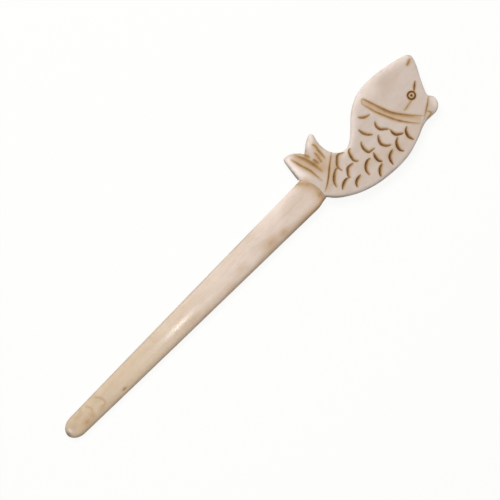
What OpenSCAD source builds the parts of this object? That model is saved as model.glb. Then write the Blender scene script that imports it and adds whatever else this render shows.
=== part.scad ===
/* [Blade] */
// Length of the blade, from its rounded tip to the seam on its axis
blade_length = 124; // [100:1:150]
// Width of the blade just behind its rounded tip
blade_tip_width = 7.3; // [6:0.1:9]
// Width of the blade where it meets the tail
blade_root_width = 11.8; // [11:0.1:12.2]
// Length of the rounded tip
blade_tip_round = 4.8; // [3:0.1:8]
// Thickness of the blade at its tip
blade_tip_thickness = 3.2; // [2.4:0.1:4]
// Thickness of the blade at the seam
blade_root_thickness = 5; // [4.4:0.1:5.6]

/* [Fish] */
// Thickness of the flat fish
fish_thickness = 5.6; // [5:0.1:7]
// Rounding of the fish's carved face along its outline
face_round = 1; // [0.5:0.1:1]
// Rounding of the fish's plain back along its outline
back_round = 0.6; // [0.3:0.1:1]

/* [Carving] */
// Depth of every cut in the carved face
cut_depth = 0.5; // [0.3:0.05:0.8]
// Thickness of the pigment left in the bottom of a cut
pigment_thickness = 0.15; // [0.1:0.05:0.25]
// Width of a scale cut
scale_cut_width = 0.9; // [0.6:0.1:1.1]
// Width of each gill line
gill_cut_width = 0.8; // [0.5:0.1:1]
// Width of a tail ray
ray_cut_width = 0.8; // [0.5:0.1:1]
// Width of the lines across the tail stem
band_cut_width = 0.6; // [0.4:0.1:0.8]
// Width of the fine lines at the eye and the fin
fine_cut_width = 0.5; // [0.3:0.05:0.6]
// Width of the mouth cut
mouth_cut_width = 1; // [0.6:0.1:1.2]

/* [Eye] */
// Outer radius of the eye's ring
eye_ring_radius = 1.6; // [1.3:0.1:1.8]
// Width of the eye's ring
eye_ring_width = 0.5; // [0.3:0.05:0.7]
// Radius of the dot in the eye
pupil_radius = 0.35; // [0.2:0.05:0.5]

/* [Joint] */
// Diameter of the hidden peg
peg_diameter = 3; // [2:0.1:3.4]
// Length of the hidden peg
peg_length = 18; // [10:1:20]
// Space left for glue at the blind end of each hole
glue_space = 0.5; // [0.2:0.1:1]

/* [Hidden] */

fish_bone = [0.85, 0.79, 0.74];
blade_bone = [0.86, 0.79, 0.70];
bamboo = [0.74, 0.60, 0.38];
pigment_brown = [0.34, 0.19, 0.08];

// Plan points are measured from the seam on the blade's axis: x to the nose, y to the fish's back.
// The seam is an arc through that point: the blade's rounded end sits in a hollow in the tail.
fish_reach = 56;
seam_centre = [-11.1, -1.4];
seam_radius = norm(seam_centre);
centre_shift = (blade_length - fish_reach) / 2;

// Outline of the fish, counter-clockwise from inside the seam
belly = [
    [-1.8, -3.6], [-0.1, -5], [2, -7.4], [5, -9.7], [10, -12.4], [16, -14.3], [22, -15.1],
    [27, -15.25], [32, -14.7], [38, -12.8], [41, -11.5]
];
fin = [[43.5, -10.8], [46, -10.8], [48.5, -10.8], [50.3, -10], [51.4, -8.4], [51.6, -6.7], [51, -5.3]];
head = [
    [50.4, -4.4], [50.7, -3.1], [51.6, -1], [52.9, 1.7], [54.5, 4.7], [55.6, 7.2], [56, 9.2],
    [55.4, 10.5], [53.8, 11.3], [50.5, 12.2], [46, 13.1], [41, 13.8], [36, 13.7]
];
back = [
    [32, 12.9], [28.5, 11.2], [25.5, 8.9], [22.5, 6], [20, 3.8], [18, 2.6], [16, 2.3], [14.2, 3],
    [12.6, 4.6]
];
tail = [
    [11.6, 6.6], [11.2, 9.5], [11.5, 12], [12, 13.8], [11.4, 14.9], [10, 14.8], [8, 13.7],
    [6.3, 12.4], [5, 11.5], [4, 12.7], [2.6, 14], [0.8, 15], [-0.9, 15.25], [-1.9, 14.6],
    [-2.4, 12], [-2.9, 8.5], [-3.2, 6], [-4.4, 3], [-4.2, -1.5]
];
fish_points = concat(belly, fin, head, back, tail);

// Each cut follows a smooth curve through its points
scale_cuts = [
    [[5, -5.2], [5.4, -3], [8, -0.8]],
    [[10, -1.5], [10.8, 0.9], [13, 2.2]],
    [[5.2, -7.2], [7.3, -5.7], [9.5, -5.5]],
    [[10.8, -6.4], [11.3, -3.9], [14.6, -2.7]],
    [[9.7, -10.3], [11, -8.5], [13.2, -7.5]],
    [[17.6, 1], [15.7, -1.3], [16.8, -3.9]],
    [[19.6, -6], [17, -7.2], [16.1, -10.4]],
    [[22, 0.3], [20.9, -2.5], [23.8, -4.9]],
    [[22.3, -6.2], [21.7, -8], [22.6, -9.8]],
    [[18.6, -13.3], [20, -11.1], [22.2, -10.8]],
    [[24.4, 4.2], [24.8, 1.3], [27, -0.9]],
    [[28, -2.2], [26.4, -5], [28.8, -7.8]],
    [[24.5, -13.3], [25.6, -10.4], [28.3, -9.3]],
    [[27.2, 7.4], [28.8, 5.4], [31.2, 4.8]],
    [[30.6, 2.2], [29.7, -0.6], [31.9, -2.9]],
    [[32.4, -3.7], [32.2, -5.9], [34.6, -7.8]],
    [[32.3, -7.8], [29.8, -9.8], [30.5, -12.8]],
    [[37.3, -7.1], [35.1, -9.1], [35.8, -12.2]]
];
gill_cuts = [
    [[31.5, 9.6], [32.9, 4.6], [35.5, -1.6], [38.2, -6.2], [41.3, -9.5]],
    [[32.3, 10.5], [33.3, 9.6], [35.3, 4], [38.2, -2.4], [41, -5.7], [44, -8.7]]
];
ray_cuts = [
    [[0.3, 13.6], [1.4, 9.2], [2.3, 5], [2.8, -0.2]],
    [[2.4, 12.6], [3.5, 10.4], [4.5, 6.9], [5, 2.4]],
    [[5.9, 7.4], [6, 6.4], [6.2, 5.2]],
    [[7.7, 9.2], [7.6, 7.2], [7.2, 5.2]],
    [[9.2, 12.2], [9.6, 10.4], [9.3, 8.4], [9, 6.2]]
];
band_cuts = [
    [[0.9, -3.1], [5.6, -0.2], [11.5, 4.5]],
    [[3.7, -3.6], [6.5, -1.1], [12.3, 3.3]]
];
eye_centre = [46, -0.7];
eye_cuts = [
    [[48, 0.2], [49.3, 1.4], [50.5, 2.4]],
    [[45, -2.5], [42.8, -2.7], [40.2, -2.6]]
];
mouth_cuts = [[[55, 9], [53.7, 8.4], [52, 7.9]]];
fin_cuts = [
    [[50, -5.3], [47.2, -7.4], [43.9, -9.2]],
    [[46.3, -8.9], [46.7, -9.7]],
    [[46.3, -10.1], [44.8, -10.1]]
];

// Steps between two outline points, between two points of a cut, and round an edge
curve_steps = 2;
cut_steps = 5;
edge_steps = 3;

cut_floor = fish_thickness - cut_depth;
cutter_height = cut_depth + 1;
peg_height = blade_root_thickness / 2;
peg_chamfer = 0.3;

// The blade's section is rounded on top and squarer below. Its lower edge draws in before the seam.
section_sides = 28;
top_power = 2.4;
under_power = 3.4;
waist_length = 5;
waist_depth = 1.2;
end_allowance = 3;
taper_power = 0.85;
tip_share = 0.35;

// Point at t, from 0 at p1 to 1 at p2, on a smooth curve through four points
function spline_point(p0, p1, p2, p3, t) =
    0.5 * (2 * p1 + (p2 - p0) * t + (2 * p0 - 5 * p1 + 4 * p2 - p3) * t * t
        + (3 * p1 - p0 - 3 * p2 + p3) * t * t * t);

function closed_curve(p, steps) =
    let (n = len(p))
    [for (i = [0 : n - 1], s = [0 : steps - 1])
        spline_point(p[(i + n - 1) % n], p[i], p[(i + 1) % n], p[(i + 2) % n], s / steps)];

function open_curve(p, steps) =
    let (last = len(p) - 1)
    concat(
        [for (i = [0 : last - 1], s = [0 : steps - 1])
            spline_point(p[max(i - 1, 0)], p[i], p[i + 1], p[min(i + 2, last)], s / steps)],
        [p[last]]);

// Unit vectors that point into a counter-clockwise closed curve, one for each of its points
function inward_normals(p) =
    let (n = len(p))
    [for (i = [0 : n - 1])
        let (d = p[(i + 1) % n] - p[(i + n - 1) % n])
        [-d[1], d[0]] / norm(d)];

function side_normal(p, i) =
    let (d = p[min(i + 1, len(p) - 1)] - p[max(i - 1, 0)])
    [-d[1], d[0]] / norm(d);

// Plan of one knife cut: full in the middle and drawn out to a point at each end
function cut_outline(p, width) =
    let (q = open_curve(p, cut_steps), last = len(q) - 1)
    concat(
        [for (i = [0 : last]) q[i] + side_normal(q, i) * width / 2 * pow(sin(180 * i / last), 0.5)],
        [for (i = [last - 1 : -1 : 1])
            q[i] - side_normal(q, i) * width / 2 * pow(sin(180 * i / last), 0.5)]);

// Twice the area of the triangle a, b, c in plan: positive where it turns to the left
function turn(a, b, c) = (b[0] - a[0]) * (c[1] - a[1]) - (b[1] - a[1]) * (c[0] - a[0]);

// True where corner k of the closed loop can be cut off as a triangle with no other corner inside it
function is_ear(p, loop, k) =
    let (n = len(loop), i = loop[(k + n - 1) % n], j = loop[k], m = loop[(k + 1) % n])
    turn(p[i], p[j], p[m]) > 0
        && len([for (q = loop)
            if (q != i && q != j && q != m && turn(p[i], p[j], p[q]) >= 0
                && turn(p[j], p[m], p[q]) >= 0 && turn(p[m], p[i], p[q]) >= 0) q]) == 0;

function first_ear(p, loop, k = 0) = is_ear(p, loop, k) ? k : first_ear(p, loop, k + 1);

// Triangles that fill a flat loop, which may have hollows in its outline
function fill(p, loop, done = []) =
    len(loop) == 3 ? concat(done, [loop]) :
    let (n = len(loop), k = first_ear(p, loop))
    fill(
        p,
        [for (i = [0 : n - 1]) if (i != k) loop[i]],
        concat(done, [[loop[(k + n - 1) % n], loop[k], loop[(k + 1) % n]]]));

// Closed solid through rings of equal length. A cap is a list of faces that fill its end ring.
module loft(rings, first_cap, last_cap) {
    n = len(rings[0]);
    count = len(rings);
    points = [for (ring = rings, p = ring) p];
    sides = [for (k = [0 : count - 2], i = [0 : n - 1])
        let (j = (i + 1) % n)
        each [
            [k * n + i, (k + 1) * n + i, (k + 1) * n + j],
            [k * n + i, (k + 1) * n + j, k * n + j]
        ]];
    end = [for (face = last_cap)
        [for (i = [len(face) - 1 : -1 : 0]) (count - 1) * n + face[i]]];
    polyhedron(points = points, faces = concat(sides, first_cap, end), convexity = 8);
}

// Moves the plan into the part's own frame, whose origin is under the middle of its length
module place() translate([centre_shift, 0, 0]) children();

module seam_cylinder() {
    translate([seam_centre[0], seam_centre[1], -1])
        cylinder(r = seam_radius, h = fish_thickness + 2, $fn = 96);
}

module peg_hole() {
    translate([-peg_length / 2 - glue_space, 0, peg_height])
        rotate([0, 90, 0])
            cylinder(d = peg_diameter, h = peg_length + 2 * glue_space, $fn = 48);
}

module cuts(paths, width, height) {
    for (path = paths)
        translate([0, 0, cut_floor])
            linear_extrude(height = height)
                polygon(cut_outline(path, width));
}

module eye_rings(height) {
    translate([eye_centre[0], eye_centre[1], cut_floor]) {
        difference() {
            cylinder(r = eye_ring_radius, h = height, $fn = 48);
            translate([0, 0, -1])
                cylinder(r = eye_ring_radius - eye_ring_width, h = height + 2, $fn = 48);
        }
        cylinder(r = pupil_radius, h = height, $fn = 24);
    }
}

// Half width of the blade at x: a straight taper that closes in an ellipse at the tip
function blade_half_width(x) =
    let (
        from_tip = x + blade_length,
        along = from_tip / blade_length,
        straight = (blade_tip_width + (blade_root_width - blade_tip_width) * pow(along, taper_power)) / 2,
        left = max(0, 1 - from_tip / blade_tip_round)
    )
    straight * sqrt(max(0, 1 - left * left));

function blade_thickness(x) =
    let (
        from_tip = x + blade_length,
        along = from_tip / blade_length,
        left = max(0, 1 - from_tip / blade_tip_round)
    )
    (blade_tip_thickness + (blade_root_thickness - blade_tip_thickness) * along)
        * (tip_share + (1 - tip_share) * sqrt(max(0, 1 - left * left)));

// How far the blade's lower edge has drawn in at x, to meet the belly
function waist(x) =
    let (t = min(1, max(0, (x + waist_length) / waist_length)))
    waist_depth * t * t * (3 - 2 * t);

function power_curve(v, power) = sign(v) * pow(abs(v), 2 / power);

// One ring across the blade, with a fuller underside than top, so that it lies flat
function blade_ring(x) =
    let (w = blade_half_width(x), h = blade_thickness(x))
    [for (i = [0 : section_sides - 1])
        let (
            a = 360 * i / section_sides,
            power = sin(a) < 0 ? under_power : top_power,
            across = power_curve(cos(a), power) * w,
            y = across < 0 ? across * (1 - waist(x) / w) : across
        )
        [x, y, h / 2 + h / 2 * power_curve(sin(a), power)]];

module blade() {
    tip_steps = [0.004, 0.03, 0.08, 0.16, 0.28, 0.44, 0.64, 0.84];
    tip_rings = [for (t = tip_steps) blade_ring(-blade_length + t * blade_tip_round)];
    straight_rings = [for (t = [0 : 0.05 : 0.95])
        blade_ring(-blade_length + blade_tip_round + t * (blade_length - blade_tip_round - waist_length))];
    root_rings = [for (t = [0 : 0.125 : 1])
        blade_ring(-waist_length + t * (waist_length + end_allowance))];
    section = [for (i = [0 : section_sides - 1]) i];
    color(blade_bone) place() difference() {
        intersection() {
            loft(concat(tip_rings, straight_rings, root_rings), [section], [section]);
            union() {
                translate([-blade_length - 1, -10, -1])
                    cube([blade_length + 1 + seam_centre[0], 20, fish_thickness + 2]);
                seam_cylinder();
            }
        }
        peg_hole();
    }
}

// The fish before it is carved: rings of its outline, drawn in where the edges are rounded
module fish_blank() {
    outline = closed_curve(fish_points, curve_steps);
    inward = inward_normals(outline);
    loop = [for (i = [0 : len(outline) - 1]) i];
    back_rings = [for (k = [0 : edge_steps - 1])
        let (a = 90 * k / edge_steps)
        [back_round * (1 - sin(a)), back_round * (1 - cos(a))]];
    face_rings = [for (k = [0 : edge_steps])
        let (a = 90 * k / edge_steps)
        [face_round * (1 - cos(a)), fish_thickness - face_round * (1 - sin(a))]];
    levels = concat(back_rings, [[0, back_round]], face_rings);
    rings = [for (level = levels)
        [for (i = loop)
            let (p = outline[i] + inward[i] * level[0])
            [p[0], p[1], level[1]]]];
    loft(rings, fill(rings[0], loop), fill(rings[len(rings) - 1], loop));
}

module fish_finial() {
    color(fish_bone) place() difference() {
        fish_blank();
        seam_cylinder();
        peg_hole();
        cuts(scale_cuts, scale_cut_width, cutter_height);
        cuts(gill_cuts, gill_cut_width, cutter_height);
        cuts(ray_cuts, ray_cut_width, cutter_height);
        cuts(band_cuts, band_cut_width, cutter_height);
        cuts(eye_cuts, fine_cut_width, cutter_height);
        cuts(mouth_cuts, mouth_cut_width, cutter_height);
        cuts(fin_cuts, fine_cut_width, cutter_height);
        eye_rings(cutter_height);
    }
}

module joint_peg() {
    color(bamboo) place()
        translate([-peg_length / 2, 0, peg_height])
            rotate([0, 90, 0])
                rotate_extrude($fn = 48)
                    polygon([
                        [0, 0],
                        [peg_diameter / 2 - peg_chamfer, 0],
                        [peg_diameter / 2, peg_chamfer],
                        [peg_diameter / 2, peg_length - peg_chamfer],
                        [peg_diameter / 2 - peg_chamfer, peg_length],
                        [0, peg_length]
                    ]);
}

module scale_pigment() {
    color(pigment_brown) place() cuts(scale_cuts, scale_cut_width, pigment_thickness);
}

module gill_pigment() {
    color(pigment_brown) place() cuts(gill_cuts, gill_cut_width, pigment_thickness);
}

module tail_ray_pigment() {
    color(pigment_brown) place() cuts(ray_cuts, ray_cut_width, pigment_thickness);
}

module tail_band_pigment() {
    color(pigment_brown) place() cuts(band_cuts, band_cut_width, pigment_thickness);
}

module eye_pigment() {
    color(pigment_brown) place() {
        eye_rings(pigment_thickness);
        cuts(eye_cuts, fine_cut_width, pigment_thickness);
    }
}

module mouth_pigment() {
    color(pigment_brown) place() cuts(mouth_cuts, mouth_cut_width, pigment_thickness);
}

module fin_pigment() {
    color(pigment_brown) place() cuts(fin_cuts, fine_cut_width, pigment_thickness);
}

blade();
fish_finial();
joint_peg();
scale_pigment();
gill_pigment();
tail_ray_pigment();
tail_band_pigment();
eye_pigment();
mouth_pigment();
fin_pigment();
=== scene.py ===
"""Carved bone folder: a polished bone blade with a flat fish carved at its end, built round its frame."""

import math

import bpy
import numpy as np
from bpy.props import FloatProperty, FloatVectorProperty, IntProperty, PointerProperty
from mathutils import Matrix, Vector
from mathutils.geometry import delaunay_2d_cdt


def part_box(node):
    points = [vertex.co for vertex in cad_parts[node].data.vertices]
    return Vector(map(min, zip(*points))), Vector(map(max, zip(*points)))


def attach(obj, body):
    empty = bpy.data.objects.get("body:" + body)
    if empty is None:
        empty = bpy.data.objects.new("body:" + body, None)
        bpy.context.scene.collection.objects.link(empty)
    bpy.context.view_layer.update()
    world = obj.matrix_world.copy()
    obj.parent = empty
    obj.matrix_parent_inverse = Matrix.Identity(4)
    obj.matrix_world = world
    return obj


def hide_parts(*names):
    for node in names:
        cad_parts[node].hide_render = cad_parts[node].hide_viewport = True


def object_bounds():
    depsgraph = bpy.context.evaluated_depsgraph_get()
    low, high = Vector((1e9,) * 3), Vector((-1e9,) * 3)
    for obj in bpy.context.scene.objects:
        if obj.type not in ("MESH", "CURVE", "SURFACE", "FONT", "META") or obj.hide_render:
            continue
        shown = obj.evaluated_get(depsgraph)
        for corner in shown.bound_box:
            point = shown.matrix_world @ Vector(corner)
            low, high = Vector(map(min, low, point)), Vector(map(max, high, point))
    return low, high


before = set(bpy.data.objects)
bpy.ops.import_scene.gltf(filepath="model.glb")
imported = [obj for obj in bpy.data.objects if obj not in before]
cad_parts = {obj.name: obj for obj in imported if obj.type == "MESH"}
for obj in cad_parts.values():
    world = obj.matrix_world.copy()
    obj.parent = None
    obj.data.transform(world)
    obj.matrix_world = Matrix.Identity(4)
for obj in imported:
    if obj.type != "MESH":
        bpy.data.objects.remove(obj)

bl_info = {
    "name": "Carved Bone Folder",
    "version": (1, 0, 0),
    "blender": (4, 5, 0),
    "location": "View3D > Sidebar > Bone Folder",
    "description": "Builds a bone folder with a carved fish from its packed frame",
    "category": "Add Mesh",
}

MM = 0.001
FULL_TURN = 2 * math.pi


def box_mm(node):
    """Lowest and highest corner of one of the frame's nodes, in millimetres."""
    low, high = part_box(node)
    return np.array(low) / MM, np.array(high) / MM


CAD_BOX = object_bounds()
BLADE_LOW, BLADE_HIGH = box_mm("blade")
FISH_LOW, FISH_HIGH = box_mm("fish_finial")
PEG_LOW, PEG_HIGH = box_mm("joint_peg")
CUT_FLOOR = box_mm("scale_pigment")[0][2]

# The peg is centred on the seam, and every plan point below is measured from there, in millimetres:
# x towards the nose, y towards the fish's back.
SEAM_X = (PEG_LOW[0] + PEG_HIGH[0]) / 2
PEG_RADIUS = (PEG_HIGH[1] - PEG_LOW[1]) / 2
PEG_HEIGHT = (PEG_HIGH[2] + PEG_LOW[2]) / 2
PEG_REACH = (PEG_HIGH[0] - PEG_LOW[0]) / 2 + 0.5
FISH_TOP = FISH_HIGH[2]
CUT_DEPTH = FISH_TOP - CUT_FLOOR

# The seam is an arc: the blade's rounded end sits in a hollow of the tail.
SEAM_CENTRE = np.array([-11.1, -1.4])
SEAM_RADIUS = float(np.hypot(*SEAM_CENTRE))

# Outline of the fish, counter-clockwise from inside the seam
BELLY = [
    (-1.8, -3.6), (-0.1, -5), (2, -7.4), (5, -9.7), (10, -12.4), (16, -14.3), (22, -15.1),
    (27, -15.25), (32, -14.7), (38, -12.8), (41, -11.5),
]
FIN = [(43.5, -10.8), (46, -10.8), (48.5, -10.8), (50.3, -10), (51.4, -8.4), (51.6, -6.7), (51, -5.3)]
HEAD = [
    (50.4, -4.4), (50.7, -3.1), (51.6, -1), (52.9, 1.7), (54.5, 4.7), (55.6, 7.2), (56, 9.2),
    (55.4, 10.5), (53.8, 11.3), (50.5, 12.2), (46, 13.1), (41, 13.8), (36, 13.7),
]
BACK = [
    (32, 12.9), (28.5, 11.2), (25.5, 8.9), (22.5, 6), (20, 3.8), (18, 2.6), (16, 2.3), (14.2, 3),
    (12.6, 4.6),
]
TAIL = [
    (11.6, 6.6), (11.2, 9.5), (11.5, 12), (12, 13.8), (11.4, 14.9), (10, 14.8), (8, 13.7),
    (6.3, 12.4), (5, 11.5), (4, 12.7), (2.6, 14), (0.8, 15), (-0.9, 15.25), (-1.9, 14.6),
    (-2.4, 12), (-2.9, 8.5), (-3.2, 6), (-4.4, 3), (-4.2, -1.5),
]
FISH_POINTS = BELLY + FIN + HEAD + BACK + TAIL

# Knife cuts in the face. Each follows a smooth curve through its points.
SCALE_CUTS = [
    [(4.8, -5.2), (5.1, -3.6), (6.3, -2), (8.6, -0.4), (10, -0.5)],
    [(10.2, -2.4), (10, -0.2), (11.4, 1.7), (13.2, 2.8), (15.5, 1.7)],
    [(5.4, -7.1), (7, -5.9), (8.6, -5.3), (10.3, -5.5)],
    [(10.5, -6.2), (10.5, -5), (11.2, -3.9), (12.5, -2.8), (15, -3)],
    [(9.8, -10.2), (10.6, -8.8), (11.9, -8), (14, -7.7)],
    [(18, 1.4), (16.6, 1), (15.6, -1.8), (16, -3.3), (17, -3.9)],
    [(20.5, -6.1), (19, -5.9), (17.2, -6.8), (16.1, -8.4), (16, -10.3)],
    [(22.3, 0.5), (21.3, -0.7), (20.9, -2.5), (21.5, -4.3), (24.1, -4.7)],
    [(22.5, -5.3), (21.8, -7), (21.7, -8.7), (22.6, -10)],
    [(18.4, -13.5), (18.9, -12.2), (20.2, -10.9), (22.2, -10.2)],
    [(24.4, 4.2), (24.5, 2.2), (25.4, 0.4), (26.9, -0.9)],
    [(28.2, -2), (27, -3.4), (26.4, -5.2), (27.3, -7), (29, -8)],
    [(24.4, -13.5), (24.7, -11.8), (25.7, -10.2), (28.2, -9.3)],
    [(27.2, 7.4), (28, 6.2), (29.2, 5.3), (31.2, 4.8)],
    [(30.6, 2.2), (29.6, 0.4), (29.9, -1.4), (31.3, -2.7), (32.4, -3.6)],
    [(32.4, -3.6), (32.1, -5.2), (32.5, -6.6), (34, -7.7), (35, -8)],
    [(32.5, -7.5), (30.8, -8.4), (29.8, -10), (29.7, -11.5), (30.5, -12.8)],
    [(37.4, -7), (35.8, -8.1), (35.1, -9.8), (35.3, -11.2), (35.8, -12.3)],
]
GILL_CUTS = [
    [(31.6, 9.6), (32.8, 5), (34.5, 0.6), (36.6, -3.6), (39.5, -7.7), (41.5, -9.8)],
    [(31.7, 9.2), (32.2, 10.3), (33, 10.5), (33.6, 9.2), (35.3, 4), (37, -0.2), (40.5, -4.9), (44.2, -8.8)],
]
RAY_CUTS = [
    [(0.1, 13.6), (1.2, 9), (2.2, 5.7), (2.5, 2.6), (2.8, -0.2)],
    [(2, 13.9), (3.5, 10.4), (4.5, 6.9), (5.1, 2.3)],
    [(4.5, 11.4), (5, 10.2), (5.4, 8.9)],
    [(5.8, 8), (5.9, 7.2), (6.2, 5.2)],
    [(7.8, 9.4), (7.6, 7.2), (7.2, 4.9)],
    [(9.2, 12), (9.6, 10.5), (9.3, 8.5), (9.1, 6.3), (8.9, 4.8)],
]
BAND_CUTS = [
    [(0.5, -3.2), (2.8, -2.1), (5.5, -0.2), (8, 1.9), (10.5, 3.8), (12.2, 5.2)],
    [(3.5, -3.8), (5.5, -2.3), (7.5, -0.9), (10, 0.9), (12.5, 3.2), (13.2, 3.9)],
]
# Thin stain wiped over the face between the cuts, and one band of painted shade along the belly: the line that it
# follows, how far it reaches, its strength
WASHES_AND_SHADE = [
    ([(2.6, 11.5), (4, 7.5), (6, 3.5)], 2.3, 0.4),
    ([(9.4, 11), (8.2, 5.5)], 1.4, 0.22),
    ([(2, -3.6), (6.4, -0.6), (11.6, 3.8)], 1.3, 0.2),
    ([(32.6, 9.4), (34.8, 3.2), (37.6, -2.2), (42.2, -8.4)], 0.9, 0.34),
    ([(45.6, -0.65), (46.6, -0.65)], 1.1, 0.32),
    ([(-2.8, -2.5), (-2.4, 2.5), (-1.5, 4.4)], 1.7, 0.42),
    # Painted shade along the belly's lower edge
    ([(15, -4.8), (22, -7.6), (32, -10.2), (41, -11.4)], 1.9, 0.12),
    ([(42.8, 8.8), (46.5, 7.8)], 1.9, 0.11),
    ([(38.5, 5.8), (39.5, 7)], 1.6, 0.08),
    ([(40, -2), (38.4, -0.6)], 1.6, 0.08),
]
# Paler bone, and painted highlight along the lit back and tail edges, in the same form
PALE_AND_LIT_PLACES = [
    ([(-0.8, 13.6), (-1.3, 9), (-1, 5)], 1.7, 0.95),
    ([(10.4, 14), (8.4, 12.8)], 1.6, 0.75),
    ([(15, 2), (19.5, 2.9), (24.5, 7), (29, 10.8), (35, 13), (44, 12.8), (54, 10.4)], 1.5, 0.45),
    ([(33, 12), (37.5, 11)], 2.6, 0.35),
    ([(50, -9.4), (51, -7)], 1.2, 0.5),
]
EYE_CENTRE = (46.1, -0.65)
EYE_RADIUS = 1.33
EYE_CUTS = [
    [(47.7, -0.3), (49.3, 1.1), (50.8, 2.2)],
    [(45.1, -2), (43.5, -2.2), (41.8, -2.5), (40.2, -2.5)],
]
MOUTH_CUTS = [[(55, 9), (53.5, 8.2), (52, 7.9)]]
FIN_CUTS = [
    [(50.2, -4.9), (48.5, -6.4), (46.3, -7.9), (43.9, -9.3)],
    [(45.9, -8.2), (46.7, -9.3), (46.5, -10.1), (44.3, -10.3)],
]

# Places along the fish's sides where a dark painted shadow lines the edge: x, y and strength
EDGE_SHADE_SPOTS = [
    (-3.3, 6.2, 1.0), (-2.9, 9, 0.9), (-2.4, 12, 0.75), (-1.9, 14.6, 0.4), (-0.6, -4.6, 0.9), (1.4, -6.7, 0.8),
    (4, -9, 0.65), (8, -11.5, 0.5), (13, -13.5, 0.42), (18.5, -14.7, 0.38), (24, -15.2, 0.3), (5, 11.5, 0.4),
    (8, 13.7, 0.35), (11.4, 8.5, 0.3), (29, -15, 0.15),
]


# ---------------------------------------------------------------------------------------------
# Settings
# ---------------------------------------------------------------------------------------------


def length(name, description, default_mm):
    """A length that a user may change, shown in the scene's own unit."""
    return FloatProperty(
        name=name, description=description, default=default_mm * MM, min=0, precision=5, unit="LENGTH"
    )


def colour(name, description, default):
    """A colour that a user may change."""
    return FloatVectorProperty(
        name=name, description=description, default=default, size=3, min=0, max=1, subtype="COLOR"
    )


def share(name, description, default):
    """A plain number from 0 to 1 that a user may change."""
    return FloatProperty(name=name, description=description, default=default, min=0, max=1, subtype="FACTOR")


class CarvingSettings(bpy.types.PropertyGroup):
    """Sizes of the carved fish."""

    edge_width: length("Edge width", "How far in from the outline the face starts to round over", 1.3)
    edge_drop: length("Edge drop", "How far the rounded edge falls below the face", 0.7)
    back_edge: length("Back edge", "Rounding of the plain back", 0.6)
    wall_lean: length("Wall lean", "How far the sides draw in between the back and the face", 0.12)
    tail_drop: length("Tail drop", "How much lower the tail is than the body", 0.45)
    scale_width: length("Scale cut", "Width of a scale cut", 0.92)
    gill_width: length("Gill cut", "Width of each gill line", 0.8)
    ray_width: length("Tail ray", "Width of a ray cut in the tail", 0.8)
    band_width: length("Band cut", "Width of the lines across the tail stem", 0.52)
    fine_width: length("Fine cut", "Width of the lines at the eye and the fin", 0.55)
    mouth_width: length("Mouth cut", "Width of the mouth cut", 1.0)
    film: length("Stain film", "Thickness of the stain left in the bottom of a cut", 0.04)
    face_pitch: length("Face mesh", "Spacing of the face's points away from the cuts", 0.32)
    cut_pitch: length("Cut mesh", "Spacing of the face's points at the cuts", 0.13)
    back_pitch: length("Back mesh", "Spacing of the points on the plain back", 0.38)


class BladeSettings(bpy.types.PropertyGroup):
    """Sizes of the blade."""

    tip_width: length("Tip width", "Width just behind the rounded tip", 7.3)
    tip_round: length("Tip length", "Length of the rounded tip", 4.8)
    tip_thickness: length("Tip thickness", "Thickness just behind the rounded tip", 3.2)
    waist_length: length("Waist length", "How far from the seam the lower edge starts to draw in", 5)
    waist_depth: length("Waist depth", "How far the lower edge draws in to meet the belly", 0.8)
    ring_pitch: length("Ring spacing", "Spacing of the rings along the blade", 0.32)
    sides: IntProperty(name="Sides", description="Points round each ring", default=96, min=24, max=160)


class FinishSettings(bpy.types.PropertyGroup):
    """Colours of the bone, the stain and the peg."""

    fish_pale: colour("Fish bone", "Pale bone of the carved fish", (0.62, 0.52, 0.46))
    fish_deep: colour("Fish mottle", "Deeper mottling in the fish", (0.50, 0.40, 0.31))
    root_pale: colour("Blade root", "Pale bone of the blade near the fish", (0.72, 0.60, 0.52))
    tip_pale: colour("Blade tip", "Yellower bone towards the blade's tip", (0.64, 0.51, 0.37))
    blade_deep: colour("Blade mottle", "Deeper mottling in the blade", (0.50, 0.37, 0.25))
    vein: colour("Bone fleck", "Fine flecks along the grain", (0.36, 0.24, 0.15))
    stain_pale: colour("Rubbed stain", "Stain that has soaked in beside a cut", (0.47, 0.295, 0.14))
    stain_dark: colour("Deep stain", "Stain on the sides of a deep cut", (0.18, 0.08, 0.026))
    film_dark: colour("Stain film", "Dried stain that fills the bottom of a cut", (0.09, 0.036, 0.011))
    bamboo_pale: colour("Bamboo", "Pale bamboo of the peg", (0.60, 0.42, 0.20))
    bamboo_dark: colour("Bamboo fibre", "Darker fibres in the peg", (0.38, 0.23, 0.09))
    polish: share("Polish", "Strength of the polished layer on the bone", 0.35)


class StageSettings(bpy.types.PropertyGroup):
    """Floor, lights and camera."""

    floor_colour: colour("Floor", "Colour of the plain floor", (0.80, 0.80, 0.79))
    floor_glow: share("Floor glow", "Share of the floor's look that is plain white, as on a light table", 0.92)
    fill: share("Fill", "Strength of the even light from all round", 0.3)
    key_power: FloatProperty(name="Key light", description="Power of the large soft light", default=9.2, unit="POWER")
    lamp_power: FloatProperty(name="Lamp", description="Power of the small lamp overhead", default=0.0115, unit="POWER")
    camera_height: length("Camera height", "Height of the camera over the floor", 1500)
    view_width: length("View width", "Width of the floor that the camera sees", 175.57)
    view_turn: FloatProperty(
        name="View turn", description="How far the view is turned", default=math.radians(-44.88), subtype="ANGLE"
    )


# ---------------------------------------------------------------------------------------------
# Plan geometry, in millimetres from the seam
# ---------------------------------------------------------------------------------------------


def smooth_step(t):
    t = np.clip(t, 0, 1)
    return t * t * (3 - 2 * t)


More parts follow.
